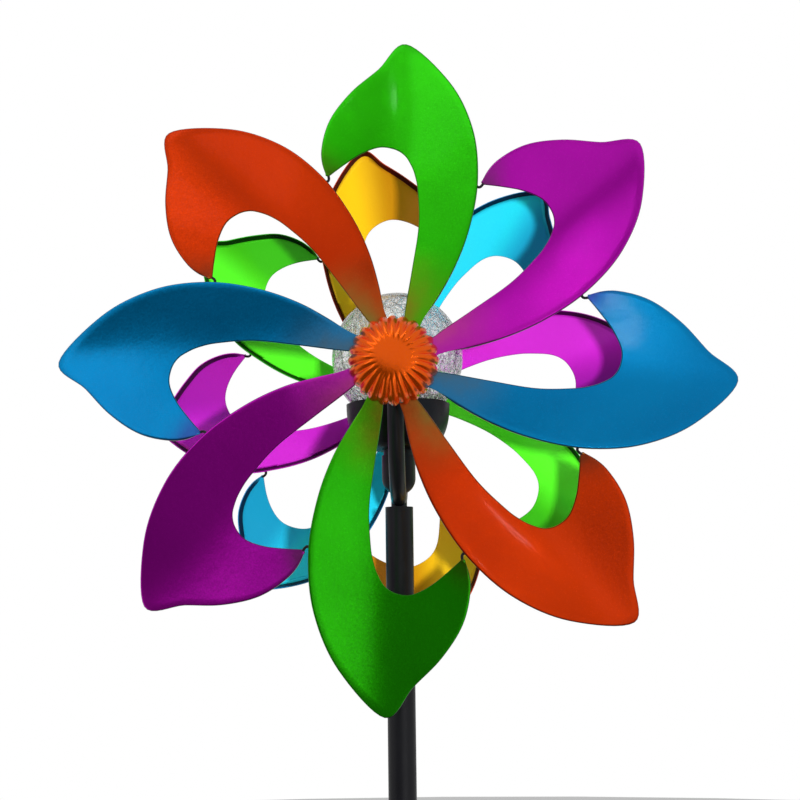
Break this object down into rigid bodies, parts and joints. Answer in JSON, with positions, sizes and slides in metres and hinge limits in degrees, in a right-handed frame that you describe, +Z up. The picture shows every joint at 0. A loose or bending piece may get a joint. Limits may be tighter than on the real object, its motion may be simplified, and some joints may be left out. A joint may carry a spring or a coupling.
{
  "type": "garden wind spinner",
  "caption": "Garden wind spinner: two wheels of curved petals turn on a forked pole, either side of a crackle glass solar lamp, on a pronged ground stake.",
  "frame": {"origin": "on the pole's axis at ground level, the underside of the step plate", "axes": "+Z up along the pole; the large front wheel faces -Y and the small rear wheel faces +Y; +X to the right seen from the front"},
  "size_m": [0.4998, 0.244, 1.8999],
  "materials": {
    "black_coat": "satin black powder coat",
    "petal_green": "translucent metallic paint",
    "petal_purple": "translucent metallic paint",
    "petal_blue": "translucent metallic paint",
    "petal_orange": "translucent metallic paint",
    "cap_orange": "gloss metallic paint",
    "plated_steel": "zinc plated",
    "bearing_steel": "ground and polished",
    "bush_plastic": "moulded",
    "lamp_plastic": "satin moulded",
    "button_rubber": "soft cap",
    "solar_cell": "resin over cells",
    "led_resin": "clear resin",
    "board": "solder mask",
    "battery_sleeve": "shrink sleeve",
    "gasket_rubber": "matt",
    "crackle_glass": "clear, crackled inside"
  },
  "bodies": {
    "frame": {"stake_prongs": "black_coat", "step_plate": "black_coat", "stake_socket": "black_coat", "clamp_screws": "plated_steel", "pole_lower": "black_coat", "pole_middle": "black_coat", "pole_upper": "black_coat", "pole_bush": "bush_plastic", "yoke_tube": "black_coat", "yoke_stem": "black_coat", "lamp_socket": "lamp_plastic", "lamp_cup": "lamp_plastic", "lamp_deck": "lamp_plastic", "solar_panel": "solar_cell", "lamp_leds": "led_resin", "circuit_board": "board", "battery": "battery_sleeve", "battery_contacts": "plated_steel", "globe_gasket": "gasket_rubber", "glass_globe": "crackle_glass", "front_axle_bolt": "plated_steel", "rear_axle_bolt": "plated_steel", "axle_nuts": "plated_steel", "axle_washers": "plated_steel", "bearing_spacers": "plated_steel", "bearing_inner_races": "bearing_steel", "bearing_balls": "bearing_steel"},
    "front_wheel": {"front_bearing_outer_races": "bearing_steel", "front_hub_barrel": "black_coat", "front_back_plate": "black_coat", "front_face_plate": "cap_orange", "front_hub_cap": "cap_orange", "front_petal_tabs": "black_coat", "front_petal_1": "petal_green", "front_petal_2": "petal_purple", "front_petal_3": "petal_blue", "front_petal_4": "petal_orange", "front_petal_5": "petal_green", "front_petal_6": "petal_purple", "front_petal_7": "petal_blue", "front_petal_8": "petal_orange"},
    "rear_wheel": {"rear_bearing_outer_races": "bearing_steel", "rear_hub_barrel": "black_coat", "rear_back_plate": "black_coat", "rear_face_plate": "cap_orange", "rear_hub_cap": "cap_orange", "rear_petal_tabs": "black_coat", "rear_petal_1": "petal_orange", "rear_petal_2": "petal_green", "rear_petal_3": "petal_purple", "rear_petal_4": "petal_blue", "rear_petal_5": "petal_orange", "rear_petal_6": "petal_green", "rear_petal_7": "petal_purple", "rear_petal_8": "petal_blue"},
    "button": {"lamp_button": "button_rubber"}
  },
  "joints": [
    {"name": "front_wheel_spin", "type": "hinge", "parent": "frame", "child": "front_wheel", "pos_m": [0, -0.089, 1.4], "axis": [0, -1, 0], "continuous": true},
    {"name": "rear_wheel_spin", "type": "hinge", "parent": "frame", "child": "rear_wheel", "pos_m": [0, 0.089, 1.4], "axis": [0, 1, 0], "continuous": true},
    {"name": "lamp_button_press", "type": "slide", "parent": "frame", "child": "button", "axis": [0, 0, 1], "range_m": [0, 0.0015], "stiffness_N_per_m": 400, "springref_m": -0.001}
  ]
}
